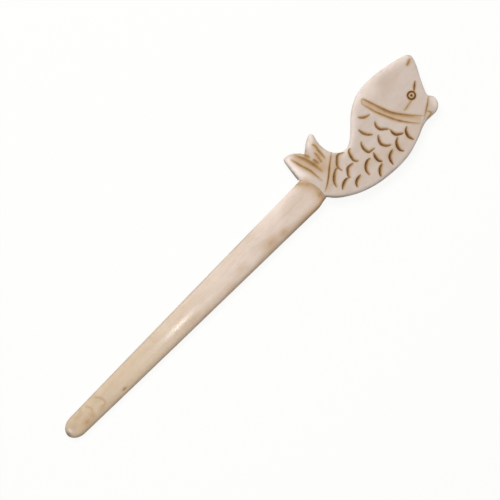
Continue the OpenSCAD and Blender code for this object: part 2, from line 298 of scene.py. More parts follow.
def smooth_curve(points, steps, closed=False):
    """Points on a smooth curve through the given ones, with that many steps between each two."""
    p = np.asarray(points, float)
    p = np.vstack([p[-1:], p, p[:2]]) if closed else np.vstack([p[:1], p, p[-1:]])
    t = np.arange(steps)[:, None] / steps
    spans = []
    for i in range(len(p) - 3):
        a, b, c, d = p[i : i + 4]
        bend = (c - a) * t + (2 * a - 5 * b + 4 * c - d) * t**2 + (3 * b - a - 3 * c + d) * t**3
        spans.append(b + bend / 2)
    if not closed:
        spans.append(p[-1:])
    return np.vstack(spans)


def nearest_on(line, points, closed=False):
    """For each point: its distance to a line, how far along the line that is, and its side (+1 is left)."""
    start = line if closed else line[:-1]
    run = (np.roll(line, -1, axis=0) - line) if closed else line[1:] - line[:-1]
    size = np.hypot(run[:, 0], run[:, 1])
    passed = np.concatenate([[0], np.cumsum(size)])
    distance, along, side = np.empty(len(points)), np.empty(len(points)), np.empty(len(points))
    block = max(1, 400000 // len(start))
    for first in range(0, len(points), block):
        part = slice(first, first + block)
        offset = points[part, None] - start
        t = np.clip((offset * run).sum(2) / size**2, 0, 1)
        gap = offset - t[..., None] * run
        square = (gap**2).sum(2)
        k = square.argmin(1)
        row = np.arange(len(k))
        distance[part] = np.sqrt(square[row, k])
        along[part] = (passed[k] + t[row, k] * size[k]) / passed[-1]
        turn = run[k, 0] * gap[row, k, 1] - run[k, 1] * gap[row, k, 0]
        side[part] = np.where(turn < 0, -1, 1)
    return distance, along, side


def inside(loop, points):
    """True for each point that lies inside a closed loop."""
    following = np.roll(loop, -1, axis=0)
    result = np.zeros(len(points), bool)
    for (x0, y0), (x1, y1) in zip(loop, following):
        if y0 == y1:
            continue
        spans = (y0 > points[:, 1]) != (y1 > points[:, 1])
        crossing = x0 + (points[:, 1] - y0) * (x1 - x0) / (y1 - y0)
        result ^= spans & (points[:, 0] < crossing)
    return result


def clear_inside(loop, points, margin):
    """True for each point that lies inside a closed loop, with at least that much room to it."""
    result = inside(loop, points)
    result[result] = nearest_on(loop, points[result], closed=True)[0] > margin
    return result


def inward(loop):
    """Unit vectors that point into a counter-clockwise loop."""
    d = np.roll(loop, -1, axis=0) - np.roll(loop, 1, axis=0)
    d /= np.hypot(d[:, 0], d[:, 1])[:, None]
    return np.column_stack([-d[:, 1], d[:, 0]])


def hex_grid(loop, pitch):
    """Evenly spread points over a loop's box."""
    low, high = loop.min(0), loop.max(0)
    rows = np.arange(low[1], high[1], pitch * math.sqrt(3) / 2)
    columns = np.arange(low[0], high[0], pitch)
    x, y = np.meshgrid(columns, rows)
    x = x + (np.arange(len(rows)) % 2)[:, None] * pitch / 2
    return np.column_stack([x.ravel(), y.ravel()])


def unevenness(points, scale, seed):
    """Smooth hand-made waviness between about -1 and 1, with features about that many millimetres across."""
    rng = np.random.default_rng(seed)
    total = np.zeros(len(points))
    for _ in range(9):
        angle, phase = rng.uniform(0, FULL_TURN, 2)
        wave = rng.uniform(0.7, 1.8) * scale
        total += np.sin((points[:, 0] * math.cos(angle) + points[:, 1] * math.sin(angle)) * FULL_TURN / wave + phase)
    return total / 4.5


OUTLINE_STEPS = 11
HOLE_SIDES = 48
CUT_STEPS = 9
# How far from a cut the face keeps its fine mesh
CUT_MARGIN = 1.0


def split_outline():
    """The fish's outline as two lines: the free edge, counter-clockwise, and the hollow at the seam."""
    loop = smooth_curve(FISH_POINTS, OUTLINE_STEPS, closed=True)
    reach = np.hypot(*(loop - SEAM_CENTRE).T)
    free = reach > SEAM_RADIUS + 0.05
    first = next(i for i in range(len(loop)) if free[i] and not free[i - 1])
    edge = np.roll(loop, -first, axis=0)[: int(free.sum())]
    ends = []
    for outer, inner in ((edge[-1], np.roll(loop, -first, axis=0)[len(edge)]), (edge[0], loop[first - 1])):
        a, b = np.hypot(*(outer - SEAM_CENTRE)), np.hypot(*(inner - SEAM_CENTRE))
        ends.append(outer + (inner - outer) * (a - SEAM_RADIUS) / (a - b))
    upper, lower = ends
    angles = [math.atan2(*(end - SEAM_CENTRE)[::-1]) for end in (upper, lower)]
    sweep = np.linspace(*angles, 72)
    hollow = SEAM_CENTRE + SEAM_RADIUS * np.column_stack([np.cos(sweep), np.sin(sweep)])
    return edge, hollow


class Cut:
    """One knife cut: where it runs, how wide it is, and which way it leans."""

    def __init__(self, points, width_mm, leaning=False, closed=False, deep=1.0, stain=1.0, film=0.4):
        self.line = smooth_curve(points, CUT_STEPS, closed)
        self.half = width_mm / 2
        self.closed = closed
        self.deep = deep
        self.stain = stain
        self.film = film
        # Stain soaks in this far beside the cut: over its steep side, and up its sloping floor.
        self.soak = (1.3 * self.half, 1.7 * self.half) if leaning else (1.75 * self.half, 1.75 * self.half)
        run = np.diff(self.line, axis=0)
        turning = (run[:-1, 0] * run[1:, 1] - run[:-1, 1] * run[1:, 0]).sum()
        self.lean = math.copysign(1, turning) if leaning else 0
        # A leaning cut is steep on its outer side, and its floor slopes up over a longer way inside.
        self.deepest = -0.3 if leaning else 0
        self.slope = 2.1 if leaning else 1.15

    def fullness(self, along):
        """From 0 at a pointed end of the cut to 1 in its middle."""
        if self.closed:
            return np.ones(len(along))
        return np.sin(math.pi * np.clip(along, 0, 1)) ** 0.65

    def measure(self, points):
        """Depth of the cut at each point as a share of full depth, the stain beside it, and the distance."""
        distance, along, side = nearest_on(self.line, points, self.closed)
        full = self.fullness(along)
        half = self.half * np.maximum(full, 0.05)
        across = distance * side * self.lean if self.lean else distance
        u = across / half
        steep = 1 - smooth_step((self.deepest - u) / (1 + self.deepest))
        gentle = (1 - np.clip((u - self.deepest) / (self.slope - self.deepest), 0, 1)) ** 1.5
        depth = np.where(u < self.deepest, steep, gentle) * full**0.8 * self.deep
        off = across - 0.2 * self.half * abs(self.lean)
        reach = np.where(off < 0, *self.soak) * (0.5 + 0.5 * full)
        soaked = np.exp(-((off / reach) ** 2)) * full**0.4
        return depth, soaked * self.stain, distance


def soft_marks(marks, points):
    """Strength at each point of soft marks, given as a line, a reach and a strength."""
    total = np.zeros(len(points))
    for path, reach, strength in marks:
        off, _, _ = nearest_on(smooth_curve(path, CUT_STEPS), points)
        total = 1 - (1 - total) * (1 - strength * np.exp(-((off / reach) ** 2)))
    return total


def eye_ring():
    turns = np.arange(12) * FULL_TURN / 12
    return np.column_stack(
        [EYE_CENTRE[0] + EYE_RADIUS * np.cos(turns), EYE_CENTRE[1] + EYE_RADIUS * np.sin(turns)]
    )


def pupil():
    return [(EYE_CENTRE[0] - 0.45, EYE_CENTRE[1]), (EYE_CENTRE[0] + 0.45, EYE_CENTRE[1])]


def knife_cuts(carving):
    """Every cut in the face, under the name of the frame's node that holds its stain."""
    width = {name: getattr(carving, name + "_width") / MM for name in ("scale", "gill", "ray", "band", "fine", "mouth")}
    return {
        "scale_pigment": [
            Cut(path, width["scale"], leaning=True, deep=0.8, stain=0.86 - 0.018 * path[2][1], film=0.36)
            for path in SCALE_CUTS
        ],
        "gill_pigment": [Cut(path, width["gill"], deep=0.55, stain=0.72, film=0.3) for path in GILL_CUTS],
        "tail_ray_pigment": [Cut(path, width["ray"], deep=0.6, stain=0.66, film=0.28) for path in RAY_CUTS],
        "tail_band_pigment": [
            Cut(path, width["band"], deep=share_deep, stain=stain, film=0.3)
            for path, share_deep, stain in zip(BAND_CUTS, (0.45, 0.2), (0.85, 0.25))
        ],
        "eye_pigment": [
            Cut(eye_ring(), width["fine"], closed=True, deep=0.6, stain=1.0, film=0.7),
            Cut(pupil(), width["fine"] * 1.3, deep=0.6, stain=1.0, film=1.0),
            Cut(EYE_CUTS[0], width["fine"] * 1.25, deep=0.5, stain=0.9),
            Cut(EYE_CUTS[1], width["fine"] * 1.3, deep=0.4, stain=0.6, film=0.3),
        ],
        "mouth_pigment": [Cut(path, width["mouth"], deep=0.6, stain=0.66, film=0.25) for path in MOUTH_CUTS],
        "fin_pigment": [Cut(path, width["fine"] * 1.2, deep=0.5, stain=0.62, film=0.3) for path in FIN_CUTS],
    }


class CarvedFace:
    """Height of the fish's face, and the stain and wear on it, at any point in plan."""

    def __init__(self, carving):
        self.edge, self.hollow = split_outline()
        self.cuts = knife_cuts(carving)
        self.edge_width = carving.edge_width / MM
        self.edge_drop = carving.edge_drop / MM
        self.tail_drop = carving.tail_drop / MM
        self.fin_line = smooth_curve(FIN_CUTS[0], CUT_STEPS)
        loop = np.vstack([self.edge, self.hollow])
        free = len(self.edge)
        lean = carving.wall_lean / MM
        self.base_loop = loop
        self.top_loop = loop.copy()
        self.top_loop[1 : free - 1] += inward(loop)[1 : free - 1] * lean
        self.top_edge = self.top_loop[:free]

    def uncut(self, points):
        """Height of the face before the knife cuts."""
        to_edge, _, _ = nearest_on(self.top_edge, points)
        to_seam, _, _ = nearest_on(self.hollow, points)
        rise = np.clip(1 - to_edge / self.edge_width, 0, 1)
        seam_rise = np.clip(1 - to_seam / 0.35, 0, 1)
        rounding = np.maximum(
            self.edge_drop * (1 - np.sqrt(1 - rise**2)), 0.25 * (1 - np.sqrt(1 - seam_rise**2))
        )
        rounding = np.maximum(rounding, 0.3 * np.clip(1 - to_seam / 2.2, 0, 1) ** 1.5)
        dome = 0.12 * np.exp(-to_edge / 3)
        past_band = (points - np.array([5.6, -0.2])) @ np.array([-0.583, 0.813])
        tail = self.tail_drop * smooth_step(past_band / 6)
        past_fin, along, side = nearest_on(self.fin_line, points)
        beyond = (side > 0) & (along > 0.02) & (points[:, 0] > 43)
        fin = np.where(beyond, 0.18 + 0.05 * np.minimum(past_fin, 3), 0)
        waves = 0.035 * unevenness(points, 7, 3) + 0.015 * unevenness(points, 2.4, 8)
        return FISH_TOP - rounding - dome - tail - fin + waves - 0.04, to_edge

    def painted_edge_shade(self, points):
        """Painted shadow: dark colour in the lower edge where the side meets the face, strongest beside the blade."""
        reached = np.zeros(len(points))
        for x, y, strength in EDGE_SHADE_SPOTS:
            reached = np.maximum(reached, strength * np.exp(-((points[:, 0] - x) ** 2 + (points[:, 1] - y) ** 2) / 9))
        to_edge, _, _ = nearest_on(self.base_loop[: len(self.edge)], points)
        return reached * np.exp(-((to_edge / 0.68) ** 2))

    def carving(self, points):
        """Depth of the cuts as a share of full depth, the stain round them, and the distance to the nearest."""
        depth = np.zeros(len(points))
        stain = np.zeros(len(points))
        to_cut = np.full(len(points), 99.0)
        for cut in (c for group in self.cuts.values() for c in group):
            low, high = cut.line.min(0) - 2, cut.line.max(0) + 2
            near = ((points > low) & (points < high)).all(1)
            share_deep, halo, distance = cut.measure(points[near])
            depth[near] = np.maximum(depth[near], share_deep)
            stain[near] = 1 - (1 - stain[near]) * (1 - halo)
            to_cut[near] = np.minimum(to_cut[near], distance)
        stain = 1 - (1 - stain) * (1 - soft_marks(WASHES_AND_SHADE, points))
        return depth, stain, to_cut

    def height(self, points):
        """Height of the carved face."""
        return self.uncut(points)[0] - CUT_DEPTH * self.carving(points)[0]


# ---------------------------------------------------------------------------------------------
# Mesh building
# ---------------------------------------------------------------------------------------------


def fill_loop(loop, others, hole=None):
    """Triangles over a closed loop, round a hole if it has one. The loop's and hole's points come first."""
    hole = np.empty((0, 2)) if hole is None else hole
    flat = [Vector(p) for p in np.vstack([loop, hole, others])]
    border = [(i, (i + 1) % len(loop)) for i in range(len(loop))]
    border += [(len(loop) + i, len(loop) + (i + 1) % len(hole)) for i in range(len(hole))]
    made, _, faces, origin, _, _ = delaunay_2d_cdt(flat, border, [], 1, 1e-4)
    order = sorted(range(len(made)), key=lambda i: min(origin[i]))
    place = {old: new for new, old in enumerate(order)}
    points = np.array([made[i] for i in order])
    faces = [tuple(place[i] for i in face) for face in faces]
    if len(hole):
        middles = np.array([points[list(face)].mean(0) for face in faces])
        faces = [face for face, filled in zip(faces, inside(hole, middles)) if not filled]
    return points, faces


def mesh_piece(name, vertices_mm, faces, attributes, material, sharp_degrees=50):
    """A smooth-shaded piece from points in millimetres, with a value for each point in named attributes."""
    used = np.unique(np.concatenate([np.ravel(face) for face in faces]))
    place = np.zeros(len(vertices_mm), int)
    place[used] = np.arange(len(used))
    mesh = bpy.data.meshes.new(name)
    mesh.from_pydata((np.asarray(vertices_mm)[used] * MM).tolist(), [], [place[list(face)].tolist() for face in faces])
    for label, values in attributes.items():
        layer = mesh.attributes.new(label, "FLOAT", "POINT")
        layer.data.foreach_set("value", np.asarray(values, np.float32)[used])
    mesh.shade_smooth()
    mesh.set_sharp_from_angle(angle=math.radians(sharp_degrees))
    mesh.materials.append(material)
    piece = bpy.data.objects.new(name, mesh)
    bpy.context.scene.collection.objects.link(piece)
    return piece


def bridge(first, second, count):
    """Quads between two rings of points, given where each ring starts."""
    return [
        (first + i, first + (i + 1) % count, second + (i + 1) % count, second + i) for i in range(count)
    ]


def back_pores(points):
    """Depth of the small open pores on the plain back, which run along the grain."""
    rng = np.random.default_rng(21)
    depth = np.zeros(len(points))
    for _ in range(150):
        centre = rng.uniform(points.min(0), points.max(0))
        size = rng.uniform(0.35, 1.1) * np.array([1.6, 0.7])
        spread = (((points - centre) / size) ** 2).sum(1)
        depth = np.maximum(depth, rng.uniform(0.05, 0.16) * np.exp(-spread * 1.6))
    return depth


def ring_points(loop, free, widths):
    """Rows of points that follow the free edge, each a little further in."""
    normals = inward(loop)[:free]
    rows = []
    for k, width in enumerate(widths):
        row = loop[:free] + normals * width
        distance, _, _ = nearest_on(loop, row, closed=True)
        row = row[distance > width * 0.93]
        rows.append(row[k % 2 :: 2] if width > 0.5 else row)
    return np.vstack(rows)


def carve_face(face, carving):
    """Points and triangles of the carved face, with the values that its finish uses."""
    loop = face.top_loop
    free = len(face.edge)
    curve = np.radians([15, 30, 45, 60, 75, 90])
    rings = ring_points(loop, free, face.edge_width * (1 - np.cos(curve)))
    fine = hex_grid(loop, carving.cut_pitch / MM)
    fine = fine[face.carving(fine)[2] < CUT_MARGIN]
    fine = fine[clear_inside(loop, fine, 0.1)]
    coarse = hex_grid(loop, carving.face_pitch / MM)
    coarse = coarse[face.carving(coarse)[2] > CUT_MARGIN + carving.face_pitch / MM / 3]
    coarse = coarse[clear_inside(loop, coarse, face.edge_width + 0.12)]
    rings = rings[face.carving(rings)[2] > CUT_MARGIN]
    points, faces = fill_loop(loop, np.vstack([rings, fine, coarse]))
    height, to_edge = face.uncut(points)
    depth, stain, _ = face.carving(points)
    wear = {
        "stain": stain,
        "edge": np.exp(-to_edge / 0.9),
        # Painted shadow along the fish's edges
        "painted_edge_shade": face.painted_edge_shade(points),
        "pale_and_highlight": soft_marks(PALE_AND_LIT_PLACES, points),
    }
    return np.column_stack([points, height - CUT_DEPTH * depth]), faces, wear


def plain_back(face, carving):
    """Points and triangles of the plain back, with a few open pores."""
    loop = face.base_loop
    rounding = carving.back_edge / MM
    curve = np.radians([20, 45, 70, 90])
    rings = ring_points(loop, len(face.edge), rounding * (1 - np.cos(curve)))
    grid = hex_grid(loop, carving.back_pitch / MM)
    grid = grid[clear_inside(loop, grid, rounding + 0.15)]
    points, faces = fill_loop(loop, np.vstack([rings, grid]))
    to_edge, _, _ = nearest_on(face.edge, points)
    rise = np.clip(1 - to_edge / rounding, 0, 1)
    pores = back_pores(points) * smooth_step(to_edge / 1.5)
    height = rounding * (1 - np.sqrt(1 - rise**2)) + pores
    wear = {
        "stain": pores / 0.16 * 0.8,
        "edge": np.exp(-to_edge / 0.9),
        "painted_edge_shade": face.painted_edge_shade(points),
        "pale_and_highlight": np.zeros(len(points)),
    }
    return np.column_stack([points, height]), faces, wear


def build_fish(face, carving, material):
    """The carved fish as one closed solid: face, sides and back."""
    top, top_faces, top_wear = carve_face(face, carving)
    back, back_faces, back_wear = plain_back(face, carving)
    count = len(face.top_loop)
    levels = np.linspace(0, 1, 7)[1:-1]
    walls = [back[:count] * (1 - t) + top[:count] * t for t in levels]
    vertices = np.vstack([top, back, *walls])
    starts = [len(top)] + [len(top) + len(back) + k * count for k in range(len(walls))] + [0]
    faces = list(top_faces) + [tuple(len(top) + i for i in face_[::-1]) for face_ in back_faces]
    free = len(face.edge)
    for below, above in zip(starts, starts[1:]):
        faces += bridge(below, above, count)[:free] + bridge(below, above, count)[count - 1 :]
    wall_ids = np.array([np.arange(free, count) + start for start in starts])
    bored, bored_faces = bored_hollow(vertices, wall_ids)
    vertices = np.vstack([vertices, bored])
    vertices[:, 0] += SEAM_X
    side_wear = {
        "stain": np.where(np.arange(count) >= free, 0.7, 0.12),
        "edge": np.ones(count),
        "painted_edge_shade": face.painted_edge_shade(face.base_loop),
        "pale_and_highlight": np.zeros(count),
    }
    attributes = {
        key: np.concatenate([top_wear[key], back_wear[key], np.tile(side_wear[key], len(walls)), np.zeros(len(bored))])
        for key in side_wear
    }
    return mesh_piece("carved_fish", vertices, faces + bored_faces, attributes, material)


def bored_hollow(vertices, wall_ids):
    """The hollow's wall round the blind peg hole, and the hole itself, as new points and all their faces."""
    wall = vertices[wall_ids]
    border = np.concatenate([wall_ids[0, :-1], wall_ids[:-1, -1], wall_ids[-1, :0:-1], wall_ids[:0:-1, 0]])

    def unroll(points):
        """Plan angle round the seam's centre as a length, and height."""
        angle = np.arctan2(points[..., 1] - SEAM_CENTRE[1], points[..., 0] - SEAM_CENTRE[0])
        return np.stack([angle * SEAM_RADIUS, points[..., 2]], axis=-1)

    turns = np.arange(HOLE_SIDES) * FULL_TURN / HOLE_SIDES
    rim = np.column_stack(
        [np.zeros(HOLE_SIDES), PEG_RADIUS * np.cos(turns), PEG_HEIGHT + PEG_RADIUS * np.sin(turns)]
    )
    rim[:, 0] = seam_reach(rim[:, 1]) - SEAM_X
    others = unroll(wall[1:-1, 1:-1]).reshape(-1, 2)
    from_hole = np.hypot(others[:, 0] - unroll(rim)[:, 0].mean(), others[:, 1] - PEG_HEIGHT)
    flat, faces = fill_loop(unroll(vertices[border]), others[from_hole > PEG_RADIUS + 0.2], unroll(rim))
    new = flat[len(border) :]
    angle = new[:, 0] / SEAM_RADIUS
    points = np.column_stack(
        [SEAM_CENTRE[0] + SEAM_RADIUS * np.cos(angle), SEAM_CENTRE[1] + SEAM_RADIUS * np.sin(angle), new[:, 1]]
    )
    first = len(vertices)
    ids = np.concatenate([border, first + np.arange(len(new))])
    faces = [tuple(int(i) for i in ids[list(face)][::-1]) for face in faces]
    deep = rim.copy()
    deep[:, 0] = PEG_REACH
    middle = [[PEG_REACH, 0, PEG_HEIGHT]]
    deep_first = first + len(points)
    faces += [quad[::-1] for quad in bridge(first, deep_first, HOLE_SIDES)]
    centre = deep_first + HOLE_SIDES
    faces += [(centre, deep_first + (i + 1) % HOLE_SIDES, deep_first + i) for i in range(HOLE_SIDES)]
    return np.vstack([points, deep, middle]), faces


def film_strip(face, cut, thickness, seed):
    """Points and faces of the stain film in the bottom of one cut."""
    line = cut.line
    count = len(line)
    if cut.closed:
        run = np.roll(line, -1, axis=0) - np.roll(line, 1, axis=0)
    else:
        run = np.gradient(line, axis=0)
    run /= np.hypot(run[:, 0], run[:, 1])[:, None]
    normal = np.column_stack([-run[:, 1], run[:, 0]])
    along = np.linspace(0, 1, count)
    full = cut.fullness(along)
    half = cut.half * np.maximum(full, 0.06)
    rng = np.random.default_rng(seed)
    ragged = 1 + 0.22 * np.sin(np.arange(count) * rng.uniform(0.9, 1.6) + rng.uniform(0, 6))
    width = half * cut.film * ragged
    centre = line + normal * (cut.deepest * half * cut.lean)[:, None]
    across = np.array([-1, -0.6, 0, 0.6, 1])
    top = [centre + normal * (width * v)[:, None] for v in across]
    plan = np.concatenate([top, top[3:0:-1]])
    flat = plan.reshape(-1, 2)
    floor = face.height(flat).reshape(len(plan), count)
    lift = np.concatenate([thickness * (1 - 0.9 * across**2) - 0.004, np.full(3, -0.05)])
    height = floor + lift[:, None] * np.ones(count)
    vertices = np.dstack([plan, height]).transpose(1, 0, 2).reshape(-1, 3)
    sides = len(plan)
    last = count if cut.closed else count - 1
    faces = []
    for k in range(last):
        faces += [face_[::-1] for face_ in bridge(k * sides, (k + 1) % count * sides, sides)]
    if not cut.closed:
        faces.append(tuple(range(sides)))
        faces.append(tuple((count - 1) * sides + i for i in range(sides - 1, -1, -1)))
    return vertices, faces


def build_film(name, node, face, thickness, material):
    """All the stain in one group of cuts, as one piece."""
    vertices, faces, strength = [], [], []
    start = 0
    for number, cut in enumerate(face.cuts[node]):
        points, strips = film_strip(face, cut, thickness, 100 + number)
        vertices.append(points)
        strength += [cut.stain] * len(points)
        faces += [tuple(i + start for i in strip) for strip in strips]
        start += len(points)
    points = np.vstack(vertices)
    points[:, 0] += SEAM_X
    piece = mesh_piece(name, points, faces, {"stain": strength}, material)
    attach(piece, "root")
    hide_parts(node)
    return piece


# Marked places on the blade, in millimetres: x and y, half length, half width, strength
BLADE_SOIL = [
    (-81.6, -1.5, 3.0, 1.7, 0.55),
    (-82.6, 1.9, 2.4, 0.8, 0.42),
    (-78.6, -1.2, 1.6, 1.6, 0.5),
    (-74.6, -1.8, 1.8, 1.0, 0.42),
    (-85.4, 0.6, 1.8, 1.4, 0.25),
    (-64.2, -2.6, 1.1, 0.6, 0.75),
    (8.5, -2.4, 3.6, 1.8, 0.52),
    (14.2, -3.0, 2.4, 1.4, 0.55),
    (-5.5, -2.0, 3.2, 1.3, 0.22),
    (-13, -4.0, 3.0, 1.0, 0.2),
    (-30, -2.6, 4.0, 1.1, 0.2),
    (33.2, -2.6, 2.3, 1.9, 0.8),
    (31.6, 3.8, 1.8, 2.0, 0.45),
    (32.6, 0.6, 2.0, 2.6, 0.5),
]
# Shallow dents in the blade's top: x and y, half length, half width, depth
BLADE_DENTS = [
    (-64.2, -2.7, 0.7, 0.35, 0.22),
    (-75.6, 0.4, 3.0, 1.9, 0.10),
    (-80.6, 0.9, 2.6, 1.8, 0.09),
    (-86.4, -0.4, 1.6, 1.6, 0.05),
    (-52.0, 2.0, 5.0, 1.2, 0.04),
    (5.0, -1.5, 8.0, 2.0, 0.04),
]


# Curved scars from the scraper near the tip: a line, how far its stain reaches, its strength
BLADE_SCARS = [
    ([(-73.5, 2.6), (-72.5, 1.4), (-72, -0.4), (-72.7, -1.4), (-74.2, -1.2)], 0.5, 0.5),
    ([(-78, 2.5), (-77.4, 1.3), (-77.5, 0.1), (-78.7, -1.1)], 0.5, 0.5),
    ([(-80.5, 2.9), (-82.6, 2.3), (-84, 2.6)], 0.6, 0.4),
]


class BladeShape:
    """Width, thickness and surface of the blade at any place along it."""

    section_top = 2.4
    section_under = 3.4
    taper_power = 0.85
    tip_share = 0.35

    def __init__(self, blade):
        self.tip = BLADE_LOW[0]
        self.length = SEAM_X - self.tip
        self.tip_round = blade.tip_round / MM
        self.tip_width = blade.tip_width / MM
        self.root_width = BLADE_HIGH[1] * 2
        self.tip_thickness = blade.tip_thickness / MM
        self.root_thickness = BLADE_HIGH[2]
        self.waist_length = blade.waist_length / MM
        self.waist_depth = blade.waist_depth / MM

    def rounding(self, x):
        left = max(0, 1 - (x - self.tip) / self.tip_round)
        return math.sqrt(max(0, 1 - left * left))

    def half_width(self, x):
        along = max(0, (x - self.tip) / self.length)
        widening = (self.root_width - self.tip_width) * min(along, 1) ** self.taper_power
        return (self.tip_width + widening) / 2 * self.rounding(x)

    def thickness(self, x):
        along = min(1, (x - self.tip) / self.length)
        full = self.tip_thickness + (self.root_thickness - self.tip_thickness) * along
        return full * (self.tip_share + (1 - self.tip_share) * self.rounding(x))

    def waist(self, x):
        t = min(1, max(0, (x - SEAM_X + self.waist_length) / self.waist_length))
        return self.waist_depth * t * t * (3 - 2 * t)

    def ring(self, x, sides):
        """One ring across the blade, with a fuller underside than top."""
        a = np.arange(sides) * FULL_TURN / sides
        top = self.section_top + 3 * float(smooth_step((x - SEAM_X + 16) / 16))
        power = np.where(np.sin(a) < 0, self.section_under, top)
        w, h = self.half_width(x), self.thickness(x)
        y = np.sign(np.cos(a)) * np.abs(np.cos(a)) ** (2 / power) * w
        y = np.where(y < 0, y * (1 - self.waist(x) / w), y)
        z = h / 2 * (1 + np.sign(np.sin(a)) * np.abs(np.sin(a)) ** (2 / power))
        return np.column_stack([np.full(sides, x), y, z])


def seam_reach(y):
    """How far along the blade's end reaches at each y: the seam's arc."""
    return SEAM_X + SEAM_CENTRE[0] + np.sqrt(SEAM_RADIUS**2 - (y - SEAM_CENTRE[1]) ** 2)


def wear_blade(ring, x, shape):
    """One ring with its scraped flats, hand waviness and dents, and the values that the finish uses, painted shade and
    painted highlight among them.
    """
    plan = ring[:, :2]
    half = max(shape.half_width(x), 0.3)
    up = np.clip((ring[:, 2] / shape.thickness(x) - 0.5) * 2, -1, 1)
    wave = 0.014 * unevenness(plan * np.array([0.3, 1]), 8, 5)
    drop = np.zeros(len(ring))
    for place_x, place_y, long, wide, depth in BLADE_DENTS:
        spread = ((x - place_x) / long) ** 2 + ((plan[:, 1] - place_y) / wide) ** 2
        drop = np.maximum(drop, depth * np.exp(-(spread**2)))
    soil_and_shade = soft_marks(BLADE_SCARS, plan)
    for place_x, place_y, long, wide, strength in BLADE_SOIL:
        spread = ((x - place_x) / long) ** 2 + ((plan[:, 1] - place_y) / wide) ** 2
        soil_and_shade = np.maximum(soil_and_shade, strength * np.exp(-spread))
    to_seam = seam_reach(plan[:, 1]) - x
    soil_and_shade = np.maximum(soil_and_shade, 0.62 * np.exp(-((to_seam / 2.6) ** 2)))
    # Painted shade: the stain grows along the lower side of the blade, darker towards the root, standing in for shade.
    lower = (0.16 + 0.2 * smooth_step((x + 60) / 70) + 0.36 * smooth_step((x - 10) / 14)) * np.exp(-(((plan[:, 1] + half) / 1.7) ** 2))
    soil_and_shade = (1 - (1 - soil_and_shade) * (1 - lower)) * smooth_step(up + 0.6)
    # Painted edge shade: a dark line along the upper edge towards the tip, a dark crescent at the tip's end and a dark
    # line along the lower edge.
    upper_edge = np.exp(-(((half - plan[:, 1]) / 0.4) ** 2))
    tip_edge = np.exp(-(((x - shape.tip) / 0.95) ** 2)) * np.exp(-(((plan[:, 1] + 0.2) / 1.8) ** 2))
    painted_edge_shade = np.maximum(0.42 * upper_edge * smooth_step((12 - x) / 8), tip_edge)
    painted_edge_shade = np.maximum(painted_edge_shade, 0.35 * np.exp(-(((plan[:, 1] + half) / 0.6) ** 2)))
    # Painted highlight: paler upper side near the root and a pale spot near the tip.
    pale_and_highlight = 0.3 * smooth_step((x - 8) / 10) * np.exp(-(((plan[:, 1] - 5) / 2) ** 2)) * smooth_step(to_seam / 4)
    tip_highlight = np.exp(-(((x - shape.tip - 1.9) / 0.45) ** 2) - ((plan[:, 1] - 0.5) / 0.9) ** 2)
    pale_and_highlight = np.maximum(pale_and_highlight, 0.8 * tip_highlight)
    shaped = ring.copy()
    shaped[:, 2] -= (drop + 0.02 + wave) * np.maximum(up, 0)
    return shaped, {"stain": soil_and_shade, "painted_edge_shade": painted_edge_shade, "pale_and_highlight": pale_and_highlight, "edge": np.zeros(len(ring))}


def build_blade(blade, material):
    """The blade as one closed solid, with its rounded end bored for the peg."""
    shape = BladeShape(blade)
    sides = blade.sides
    pitch = blade.ring_pitch / MM
    tip_turn = np.radians(np.arange(3, 90, 5.5))
    tip_rings = shape.tip + shape.tip_round * (1 - np.cos(tip_turn))
    start = shape.tip + shape.tip_round
    straight = np.linspace(start, SEAM_X, round((SEAM_X - start) / pitch) + 1)
    bend_start = SEAM_X - 3 * shape.waist_length
    rings = []
    wear = []
    for x in np.concatenate([tip_rings, straight]):
        ring, values = wear_blade(shape.ring(x, sides), x, shape)
        t = max(0, (x - bend_start) / (SEAM_X - bend_start))
        ring[:, 0] += (seam_reach(ring[:, 1]) - SEAM_X) * t * t
        rings.append(ring)
        wear.append(values)
    last = rings[-1]
    turns = np.arange(sides) * FULL_TURN / sides
    hole = np.column_stack(
        [np.zeros(sides), PEG_RADIUS * np.cos(turns), PEG_HEIGHT + PEG_RADIUS * np.sin(turns)]
    )
    for t in (0.04, 0.3, 0.65, 1):
        ring = last * (1 - t) + hole * t
        ring[:, 0] = seam_reach(ring[:, 1])
        rings.append(ring)
    rings += [hole + np.array([SEAM_X - PEG_REACH * share_in, 0, 0]) for share_in in (0.5, 1)]
    tip_centre = rings[0].mean(0) - np.array([0.01, 0, 0])
    blind_centre = np.array([SEAM_X - PEG_REACH, 0, PEG_HEIGHT])
    vertices = np.vstack([*rings, tip_centre, blind_centre])
    faces = []
    for k in range(len(rings) - 1):
        faces += bridge(k * sides, (k + 1) * sides, sides)
    tip, blind = len(vertices) - 2, len(vertices) - 1
    end = (len(rings) - 1) * sides
    for i in range(sides):
        j = (i + 1) % sides
        faces.append((tip, j, i))
        faces.append((blind, end + i, end + j))
    unseen = np.zeros(len(vertices) - len(wear) * sides)
    attributes = {key: np.concatenate([values[key] for values in wear] + [unseen]) for key in wear[0]}
    return mesh_piece("bone_blade", vertices, faces, attributes, material)


# ---------------------------------------------------------------------------------------------
# Finishes
# ---------------------------------------------------------------------------------------------


def put(tree, kind, inputs=None, **settings):
    """Adds a node, sets it up, and gives its sockets values or links from other nodes."""
    made = tree.nodes.new(kind)
    for name, value in settings.items():
        setattr(made, name, value)
    for name, value in (inputs or {}).items():
        if isinstance(value, bpy.types.NodeSocket):
            tree.links.new(value, made.inputs[name])
        else:
            made.inputs[name].default_value = value
    return made


def calc(tree, operation, *values, clamp=False):
    """Output of a Math node."""
    return put(tree, "ShaderNodeMath", dict(enumerate(values)), operation=operation, use_clamp=clamp).outputs[0]


def blend_colours(tree, amount, first, second, mode="MIX"):
    """Output of a colour mix."""
    made = put(tree, "ShaderNodeMix", {0: amount, 6: first, 7: second}, data_type="RGBA", blend_type=mode)
    return made.outputs[2]


